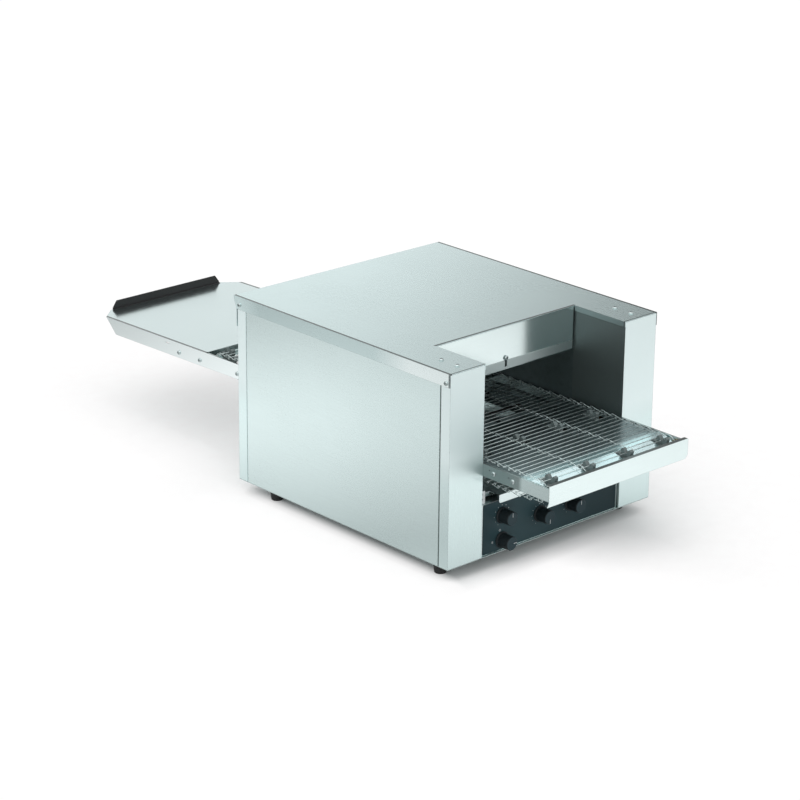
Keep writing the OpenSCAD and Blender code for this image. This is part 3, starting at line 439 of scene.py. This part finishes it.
FINISHES = {
    # Painted shade in the recess and in lines on the bends; painted light on flanges varying along the
    # oven
    "top_steel": brushed_steel("top_steel", TOP_STEEL, "y", 0.26,
                               faces=((*RECESS, *WHOLE, 0.5, 0.1),
                                      (*OUTER_SIDES, *WHOLE, 1.3, 0.0),
                                      (*OUTER_SIDES, -0.41, -0.31, 0.9, 0.0),
                                      (*OUTER_SIDES, 0.03, 0.09, 1.2, 0.0)),
                               folds=(("X", 0.2769, -1, 1, 0.003),
                                      ("Y", HOOD_Y + 0.0031, 0, 0.19, 0.003),
                                      ("Y", FRONT_Y + 0.0018, 0.187, 1, 0.0017))),
    "side_steel": brushed_steel("side_steel", STEEL, "y", 0.26),
    # Painted light makes it paler, and it is duller, above the belt; painted shade darkens the recess
    "front_steel": brushed_steel("front_steel", FRONT_STEEL, "z", 0.28,
                                 zone=("Z", 0.2, 0.25, 1.12, 0.27),
                                 faces=((*RECESS, *WHOLE, 0.26, -0.08),),
                                 folds=(("Y", FRONT_Y + 0.0249, 0.27, 1, 0.001),)),
    "cross_steel": brushed_steel("cross_steel", LIT_STEEL, "x", 0.28),
    # Painted shade darkens it behind its front end
    "rail_steel": brushed_steel("rail_steel", RAIL_STEEL, "y", 0.24,
                                zone=("Y", -0.624, -0.614, 0.45, 0.0)),
    # Painted light makes its flanges paler, with a painted shade line along their bends
    "tray_steel": brushed_steel("tray_steel", TRAY_STEEL, "y", 0.18,
                                faces=((*TRAY_SIDES, *WHOLE, 1.65, 0.05),),
                                folds=(("X", 0.1878, -1, 1, 0.0033),)),
    # Painted reflection makes it bright at its front end
    "plate_steel": brushed_steel("plate_steel", SHADED_PLATE_STEEL, "y", 0.3,
                                 zone=("Y", -0.604, -0.628, 3.9, -0.1)),
    # A painted dark reflection along its upper edge
    "guard_steel": brushed_steel("guard_steel", LIT_STEEL, "x", 0.28,
                                 zone=("Z", 0.2299, 0.2302, 0.2, 0.1)),
    # Duller strip along its lower edge
    "hood_steel": brushed_steel("hood_steel", LIT_STEEL, "x", 0.14,
                                zone=("Z", 0.3505, 0.3498, 0.7, 0.25),
                                folds=(("X", 0.1872, -1, 1, 0.0014),)),
    # Painted shade above its lower edge
    "baffle_steel": brushed_steel("baffle_steel", STEEL, "x", 0.25,
                                  zone=("Z", 0.3325, 0.3335, 0.08, 0.2)),
    # Heat tint, darkened further as painted shade inside the tunnel
    "tunnel_steel": heated_steel("tunnel_steel", (0.20, 0.25, 0.255), (0.165, 0.205, 0.21)),
    "heater_sheath": heated_steel("heater_sheath", (0.10, 0.085, 0.075), (0.05, 0.05, 0.055), 0.55),
    "belt_wire": heated_steel("belt_wire", (0.66, 0.77, 0.765), (0.50, 0.58, 0.575), 0.26, metal=0.6),
    "shaft_steel": turned_steel("shaft_steel", (0.30, 0.32, 0.32)),
    "screw_steel": turned_steel("screw_steel", (0.62, 0.70, 0.70), 0.28),
    "bushing_bronze": turned_steel("bushing_bronze", (0.55, 0.38, 0.17), 0.38),
    "sprocket_iron": coated("sprocket_iron", (0.16, 0.20, 0.20), (0.22, 0.25, 0.25), 0.45,
                            grain=500, bump=0.2, metallic=0.3),
    "zinc_plate": coated("zinc_plate", (0.74, 0.80, 0.80), (0.85, 0.88, 0.88), 0.45,
                         grain=400, bump=0.05, metallic=0.2),
    "black_rubber": coated("black_rubber", (0.018, 0.018, 0.019), (0.05, 0.05, 0.05), 0.72,
                           grain=700, bump=0.15),
    "motor_paint": coated("motor_paint", (0.06, 0.065, 0.07), (0.2, 0.2, 0.2), 0.42),
    "black_paint": coated("black_paint", (0.012, 0.012, 0.013), (0.05, 0.05, 0.052), 0.42),
    "switch_body": coated("switch_body", (0.72, 0.70, 0.62), (0.8, 0.79, 0.74), 0.5),
    "fan_plastic": coated("fan_plastic", (0.02, 0.02, 0.022), (0.06, 0.06, 0.06), 0.5),
    "lagging": fibre("lagging", (0.70, 0.66, 0.52)),
    "board_green": circuit_board("board_green"),
    "label_film": label_film("label_film"),
    "white_ink": print_ink("white_ink", (0.62, 0.66, 0.67)),
}

# Finish of the CAD nodes whose finish isn't named after their slot; the knobs have their own
NODE_FINISH = {
    "top_cover": "top_steel",
    "left_side_panel": "side_steel",
    "right_side_panel": "side_steel",
    "rear_panel": "front_steel",
    "front_left_column": "front_steel",
    "front_right_column": "front_steel",
    "entry_header": "hood_steel",
    "entry_baffle": "baffle_steel",
    "exit_baffle": "cross_steel",
    "front_guard": "guard_steel",
    "control_panel": "cross_steel",
    "panel_brackets": "zinc_plate",
    "crumb_tray": "cross_steel",
    "crumb_runners": "cross_steel",
    "base_pan": "side_steel",
    "load_plate": "plate_steel",
    "exit_tray": "tray_steel",
    "left_rail": "rail_steel",
    "right_rail": "rail_steel",
    "motor_stand": "cross_steel",
    "deck_plate": "cross_steel",
}


def node_slots():
    """Each CAD node's slot name, from the record."""
    slots = {}
    for part in frame["record"]["subparts"]:
        slots[part["node"]] = part["material_slot"]
    return slots


def dress_nodes():
    """Gives every CAD node its finish."""
    slots = node_slots()
    face_depth = 0.4 * MM
    for name, obj in frame["nodes"].items():
        dial = DIALS.get(name.replace("_knob", "_dial"))
        if dial is not None:
            x, z, _ = dial
            finish = knob_plastic(name + "_plastic", x, z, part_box(name)[0].y + face_depth)
        else:
            finish = FINISHES[NODE_FINISH.get(name, slots[name])]
        obj.data.materials.clear()
        obj.data.materials.append(finish)


def circle(x, z, radius, sides):
    """Points round a circle."""
    turns = [2 * math.pi * k / sides for k in range(sides)]
    return [(x + radius * math.cos(t), z + radius * math.sin(t)) for t in turns]


def tube(bm, points, radius, sides):
    """A round wire along points, closed at both ends."""
    rings = []
    side = None
    for i, point in enumerate(points):
        ahead = points[min(i + 1, len(points) - 1)] - points[max(i - 1, 0)]
        ahead.normalize()
        if side is None:
            side = ahead.orthogonal().normalized()
        side = (side - ahead * side.dot(ahead)).normalized()
        other = ahead.cross(side)
        rings.append([bm.verts.new(point + radius * (u * side + v * other))
                      for u, v in circle(0, 0, 1, sides)])
    for first, second in zip(rings, rings[1:]):
        for k in range(sides):
            bm.faces.new((first[k], first[k - 1], second[k - 1], second[k]))
    bm.faces.new(rings[0])
    bm.faces.new(list(reversed(rings[-1])))


def plate(bm, near_points, far_points):
    """A closed plate between two outlines with as many points each."""
    near = [bm.verts.new(point) for point in near_points]
    far = [bm.verts.new(point) for point in far_points]
    bm.faces.new(near)
    bm.faces.new(list(reversed(far)))
    for i in range(len(near)):
        bm.faces.new((near[i], near[i - 1], far[i - 1], far[i]))


def new_piece(name, bm, material, body, smooth=True):
    """A mesh piece that rides on a body."""
    bmesh.ops.recalc_face_normals(bm, faces=bm.faces)
    mesh = bpy.data.meshes.new(name)
    bm.to_mesh(mesh)
    bm.free()
    if smooth:
        for face in mesh.polygons:
            face.use_smooth = True
    mesh.materials.append(material)
    obj = bpy.data.objects.new(name, mesh)
    bpy.context.collection.objects.link(obj)
    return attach(obj, body)


def strand(bm, y, z, turn, index):
    """One belt wire with its four hooks round the next wire."""
    place = Matrix.Translation((0, y, z)) @ Matrix.Rotation(math.radians(turn), 4, "X")
    ends = [place @ Vector((x, 0, 0)) for x in (-BELT_HALF, BELT_HALF)]
    tube(bm, ends, WIRE_R, WIRE_SIDES)
    shift = HOOK_SHIFT if index % 2 == 0 else -HOOK_SHIFT
    curl = [math.radians(CURL_START - CURL_SWEEP * i / (CURL_POINTS - 1)) for i in range(CURL_POINTS)]
    for row_x, radius in zip(ROW_X, HOOK_R):
        x = row_x + shift
        path = [Vector((x, HOOK_ROOT_Y, HOOK_ROOT_Z)), Vector((x, HOOK_RISE_Y, radius / 2))]
        path += [Vector((x, PITCH + radius * math.cos(a), radius * math.sin(a))) for a in curl]
        tube(bm, [place @ p for p in path], HOOK_WIRE_R, HOOK_SIDES)


def sag(n):
    """Drop of the lower run at the wire n pitches behind the front shaft."""
    t = n / DRIVE_N
    return BELT_SAG * 4 * t * (1 - t) if n <= DRIVE_N else 0


def build_belt():
    """Round-wire belt: upper run with the rear turn, return run with the front turn."""
    step = 360 / TEETH
    upper = bmesh.new()
    for k in range(BELT_N):
        strand(upper, FRONT_SHAFT_Y + k * PITCH, SHAFT_Z + BELT_R, 0, k)
    for i in range(TEETH // 2):
        a = math.radians(90 - i * step)
        strand(upper, REAR_SHAFT_Y + BELT_R * math.cos(a), SHAFT_Z + BELT_R * math.sin(a),
               -step / 2 - i * step, BELT_N + i)
    lower = bmesh.new()
    for k in range(BELT_N):
        n = BELT_N - k
        slope = math.degrees(math.atan((sag(n - 1) - sag(n)) / PITCH))
        strand(lower, REAR_SHAFT_Y - k * PITCH, SHAFT_Z - BELT_R - sag(n), 180 + slope,
               BELT_N + TEETH // 2 + k)
    for i in range(TEETH // 2):
        a = math.radians(270 - i * step)
        strand(lower, FRONT_SHAFT_Y + BELT_R * math.cos(a), SHAFT_Z + BELT_R * math.sin(a),
               180 - step / 2 - i * step, TEETH // 2 + i)
    for bm, name, node in ((upper, "belt_upper_wires", "belt_upper_run"),
                           (lower, "belt_return_wires", "belt_return_run")):
        piece = new_piece(name, bm, FINISHES["belt_wire"], "oven")
        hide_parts(node)


def prism_x(bm, outline, x, width, y, z):
    """A plate from an outline in Y and Z, centred on x."""
    left, right = ([(side, y + u, z + v) for u, v in outline] for side in (x - width / 2, x + width / 2))
    plate(bm, left, right)


def build_sprockets():
    """Toothed wheels on drums, whose teeth stand up between the belt wires."""
    tooth = [(-turn, rise) for turn, rise in FLANK] + FLANK[::-1]
    disc = []
    for i in range(TEETH):
        for offset, rise in tooth:
            a = math.radians((i + 0.5) * 360 / TEETH + offset)
            disc.append(((BELT_R + rise * MM) * math.cos(a), (BELT_R + rise * MM) * math.sin(a)))
    drum = circle(0, 0, DRUM_R, DRUM_SIDES)
    iron = FINISHES["sprocket_iron"]
    shafts = {"front": FRONT_SHAFT_Y, "drive": FRONT_SHAFT_Y + DRIVE_N * PITCH, "rear": REAR_SHAFT_Y}
    for name, y in shafts.items():
        bm = bmesh.new()
        for x in SPROCKET_X:
            prism_x(bm, disc, x, WHEEL_W, y, SHAFT_Z)
            prism_x(bm, drum, x, SPROCKET_W, y, SHAFT_Z)
        piece = new_piece(name + "_toothed_wheels", bm, iron, name + "_axle", smooth=False)
        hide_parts(name + "_sprockets")


def flat_shape(bm, outline, y_front, y_back):
    """A thin plate from an outline in X and Z."""
    front, back = ([(x, y, z) for x, z in outline] for y in (y_front, y_back))
    plate(bm, front, back)


def bar(bm, x, z, angle, start, end, width, y_front, y_back):
    """A straight mark that points away from (x, z), with rounded ends."""
    a = math.radians(angle)
    out = Vector((math.sin(a), math.cos(a)))
    side = Vector((out.y, -out.x)) * (width / 2)
    centre = Vector((x, z))
    outline = []
    for reach, flip in ((end, 1), (start, -1)):
        for k in range(BAR_END_POINTS):
            t = math.pi * k / (BAR_END_POINTS - 1)
            p = centre + out * (reach + flip * width / 2 * math.sin(t)) - side * (flip * math.cos(t))
            outline.append((p.x, p.y))
    flat_shape(bm, outline, y_front, y_back)


def ring(bm, x, z, radius, width, y_front, y_back):
    """A flat printed ring."""
    loops = []
    for r in (radius, radius + width):
        outline = circle(x, z, r, RING_SIDES)
        for y in (y_front, y_back):
            loops.append([bm.verts.new((u, y, v)) for u, v in outline])
    for first, second in ((0, 2), (2, 3), (3, 1), (1, 0)):
        for k in range(RING_SIDES):
            bm.faces.new((loops[first][k], loops[first][k - 1], loops[second][k - 1], loops[second][k]))


def build_dial_marks():
    """Printed dots round the heat and speed dials, and the switch's marks for off and on."""
    y_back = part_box("control_label")[0].y + PRINT_SUNK
    y_front = y_back - PRINT_H
    bm = bmesh.new()
    for body, (x, z, _) in DIALS.items():
        if body == "power_dial":
            continue
        for k in range(DOT_N):
            a = math.radians(DOT_START + DOT_STEP * k)
            dot = circle(x + MARK_REACH * math.sin(a), z + MARK_REACH * math.cos(a),
                         DOT_R + DOT_GROWTH * k, DOT_SIDES)
            flat_shape(bm, dot, y_front, y_back)
    x, z, _ = DIALS["power_dial"]
    ring(bm, x + OFF_X, z + MARK_REACH, OFF_R, OFF_W, y_front, y_back)
    ring(bm, x + ON_X, z, ON_R, ON_W, y_front, y_back)
    bar(bm, x + ON_X, z, 0, *ON_BAR, y_front, y_back)
    piece = new_piece("dial_marks", bm, FINISHES["white_ink"], "oven", smooth=False)


def build_pointers():
    """The white line on each knob's face."""
    ink = FINISHES["white_ink"]
    for body, (x, z, angle) in DIALS.items():
        bm = bmesh.new()
        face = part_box(body.replace("_dial", "_knob"))[0].y
        bar(bm, x, z, angle, POINTER_START, POINTER_END, POINTER_W, face - POINTER_PROUD,
            face + POINTER_SUNK)
        piece = new_piece(body.replace("_dial", "_pointer"), bm, ink, body, smooth=False)


# The housing's footprint on the floor
FOOTPRINT_MIDDLE = (0, -0.2068, 0)
FOOTPRINT_HALF_X = 0.278
FOOTPRINT_HALF_Y = 0.311


def footprint_distance(g, inset):
    """Distance on the floor to the housing's footprint, drawn in by an inset."""
    half = (FOOTPRINT_HALF_X - inset, FOOTPRINT_HALF_Y - inset, 0)
    steps = [("SUBTRACT", FOOTPRINT_MIDDLE), ("ABSOLUTE", None), ("SUBTRACT", half),
             ("MAXIMUM", (0, 0, 0)), ("LENGTH", None)]
    value = g.place
    for operation, other in steps:
        node = g.add("ShaderNodeVectorMath", operation=operation)
        g.link(value, node.inputs[0])
        if other is not None:
            node.inputs[1].default_value = other
        value = node.outputs["Value" if operation == "LENGTH" else "Vector"]
    return value


def floor_fill(g):
    """Painted light that fills the floor's shadow, as the share of its brightness that glows, and a
    painted shadow that darkens its tone; both leave it darkest under the housing.

    The painted fill grows with the distance, faster in front of the left half and along the left side,
    where it changes between two places from its course beside the housing to its course behind it.
    """
    turn = (0.02, 0.16)
    most = 0.95
    near = g.remap(footprint_distance(g, 0), 0.02, 0.4, 0, 0.28)
    near.node.interpolation_type = "SMOOTHSTEP"
    beside = g.math("MULTIPLY", g.ramp("X", 0, 0.75, -0.238, -0.265), g.ramp("Y", 1, 0, *turn))
    behind = g.math("MULTIPLY", g.ramp("X", 0, 0.5, -0.15, -0.33), g.ramp("Y", 0, 1, *turn))
    side = g.math("ADD", beside, behind)
    front = g.math("MULTIPLY", g.ramp("Y", 0, 0.85, -0.505, -0.572), g.ramp("X", 1, 0, -0.05, 0.19))
    left = g.math("MINIMUM", g.math("ADD", near, g.math("MAXIMUM", front, side)), most)
    # Painted shadow that darkens the floor's tone under the housing
    under = g.remap(footprint_distance(g, 0.04), 0.7, 1, 0, 0.045)
    return left, under


def build_floor():
    """A wide pale floor that keeps the shadow, thinned by painted light and deepened by a painted shadow
    under the housing; in reflections it has two painted pools of light.
    """
    half_size = 40
    paper_grey = (0.976, 0.970, 0.971)
    paper_white = (0.996, 0.990, 0.991)
    unlit = (0.5, 0.51, 0.51)
    white = (1.0, 1.0, 1.0)
    black = (0, 0, 0)
    glow = 1.04
    # Two painted pools of light, seen only in reflections
    pool_places = (((-0.66, 0.42, 0), 0.95), ((0.35, -1.1, 0), 1.3))
    bm = bmesh.new()
    bmesh.ops.create_grid(bm, x_segments=8, y_segments=8, size=half_size)
    mesh = bpy.data.meshes.new("floor")
    bm.to_mesh(mesh)
    bm.free()
    g = Graph("floor_paper")
    paper = g.mix(g.remap(g.noise(30, detail=2), 0, 1), paper_grey, paper_white)
    pools = []
    for centre, spread in pool_places:
        reach = g.add("ShaderNodeVectorMath", operation="DISTANCE")
        g.link(g.place, reach.inputs[0])
        reach.inputs[1].default_value = centre
        pool = g.remap(reach.outputs["Value"], 1, 0, 0, spread)
        pool.node.interpolation_type = "SMOOTHSTEP"
        pools.append(pool)
    lit = g.mix(g.math("MAXIMUM", *pools), unlit, white)
    path = g.add("ShaderNodeLightPath")
    glossy = path.outputs["Is Glossy Ray"]
    tone = g.mix(glossy, paper, lit)
    left, under = floor_fill(g)
    # Painted shadow under the housing
    tone = g.mix(under, black, tone)
    # Painted light: seen by the camera and in reflections, the floor glows by its fill share
    fill = g.math("MULTIPLY", g.math("MAXIMUM", path.outputs["Is Camera Ray"], glossy), left)
    g.set(Base_Color=g.mix(fill, tone, black))
    g.set(Emission_Color=tone, Emission_Strength=g.math("MULTIPLY", fill, glow))
    g.set(Roughness=0.9, Specular_IOR_Level=0.0)
    mesh.materials.append(g.material)
    floor = bpy.data.objects.new("floor", mesh)
    bpy.context.collection.objects.link(floor)


def screen_glow():
    """Light of the screen: less from its left to its right, and less towards its top."""
    material = bpy.data.materials.new("screen_glow")
    material.use_nodes = True
    tree = material.node_tree
    tree.nodes.clear()
    parts = tree.nodes.new("ShaderNodeSeparateXYZ")
    tree.links.new(tree.nodes.new("ShaderNodeTexCoord").outputs["Object"], parts.inputs[0])
    sideways = tree.nodes.new("ShaderNodeMapRange")
    sideways.interpolation_type = "SMOOTHSTEP"
    upward = tree.nodes.new("ShaderNodeMapRange")
    ranges = ((sideways, "X", (-0.45, 1.1, 1.1, 0.31)), (upward, "Z", (0.9, 1.6, 0.0, -0.7)))
    for node, letter, limits in ranges:
        tree.links.new(parts.outputs[letter], node.inputs["Value"])
        for socket, limit in zip(("From Min", "From Max", "To Min", "To Max"), limits):
            node.inputs[socket].default_value = limit
    level = tree.nodes.new("ShaderNodeMath")
    tree.links.new(sideways.outputs[0], level.inputs[0])
    tree.links.new(upward.outputs[0], level.inputs[1])
    glow = tree.nodes.new("ShaderNodeEmission")
    tree.links.new(level.outputs[0], glow.inputs["Strength"])
    tree.links.new(glow.outputs[0], tree.nodes.new("ShaderNodeOutputMaterial").inputs[0])
    return material


def build_screen():
    """A soft screen behind the right side, bright on its left, seen only in reflections."""
    half_width = 2.5
    bottom = 0.02
    top = 1.6
    middle = Vector((0, -0.2, 0))
    distance = 1.8
    across = Vector((math.cos(VIEW_AZIMUTH), math.sin(VIEW_AZIMUTH), 0))
    away = Vector((-math.sin(VIEW_AZIMUTH), math.cos(VIEW_AZIMUTH), 0))
    bm = bmesh.new()
    corners = [(-half_width, bottom), (half_width, bottom), (half_width, top), (-half_width, top)]
    bm.faces.new([bm.verts.new((u, 0, z)) for u, z in corners])
    mesh = bpy.data.meshes.new("screen")
    bm.to_mesh(mesh)
    bm.free()
    mesh.materials.append(screen_glow())
    screen = bpy.data.objects.new("screen", mesh)
    turn = Matrix((across, away, (0, 0, 1))).transposed().to_4x4()
    screen.matrix_world = Matrix.Translation(middle + away * distance) @ turn
    bpy.context.collection.objects.link(screen)
    screen.visible_camera = False
    screen.visible_diffuse = False
    screen.visible_shadow = False


def build_world():
    """White seen by the camera and in reflections; a level grey light otherwise."""
    world = bpy.data.worlds.new("studio")
    bpy.context.scene.world = world
    world.use_nodes = True
    tree = world.node_tree
    background = tree.nodes["Background"]
    path = tree.nodes.new("ShaderNodeLightPath")
    seen = path.outputs["Is Camera Ray"]
    for name in ("Is Glossy Ray", "Is Transmission Ray"):
        either = tree.nodes.new("ShaderNodeMath")
        either.operation = "MAXIMUM"
        tree.links.new(seen, either.inputs[0])
        tree.links.new(path.outputs[name], either.inputs[1])
        seen = either.outputs[0]
    level = tree.nodes.new("ShaderNodeMapRange")
    tree.links.new(seen, level.inputs["Value"])
    level.inputs["To Min"].default_value = 0.88
    level.inputs["To Max"].default_value = 1.0
    tree.links.new(level.outputs[0], background.inputs["Strength"])
    background.inputs["Color"].default_value = (1, 1, 1, 1)


def aim(obj, target):
    """Turns a light towards a place."""
    obj.rotation_euler = (Vector(target) - obj.location).to_track_quat("-Z", "Y").to_euler()


def build_lights():
    """A broad soft key from the left."""
    key = bpy.data.lights.new("key", "SUN")
    key.energy = 0.6
    key.angle = math.radians(50)
    lamp = bpy.data.objects.new("key", key)
    lamp.location = (-1.4, -0.6, 3.2)
    bpy.context.collection.objects.link(lamp)
    aim(lamp, (0, 0, 0))


def build_camera():
    """The photograph's viewing angle."""
    level = math.cos(VIEW_ELEVATION)
    back = Vector((math.sin(VIEW_AZIMUTH) * level, -math.cos(VIEW_AZIMUTH) * level,
                   math.sin(VIEW_ELEVATION)))
    right = Vector((math.cos(VIEW_AZIMUTH), math.sin(VIEW_AZIMUTH), 0))
    up = back.cross(right)
    x_axis = math.cos(VIEW_ROLL) * right + math.sin(VIEW_ROLL) * up
    y_axis = math.cos(VIEW_ROLL) * up - math.sin(VIEW_ROLL) * right
    data = bpy.data.cameras.new("camera")
    data.lens = 120.56
    data.sensor_width = 36
    data.sensor_fit = "HORIZONTAL"
    data.clip_end = 200
    camera = bpy.data.objects.new("camera", data)
    turn = Matrix((x_axis, y_axis, back)).transposed().to_4x4()
    camera.matrix_world = Matrix.Translation(CAMERA_PLACE) @ turn
    bpy.context.collection.objects.link(camera)
    bpy.context.scene.camera = camera


bpy.context.scene.view_settings.view_transform = "Standard"
build_camera()
dress_nodes()
build_belt()
build_sprockets()
build_dial_marks()
build_pointers()
build_floor()
build_screen()
build_world()
build_lights()
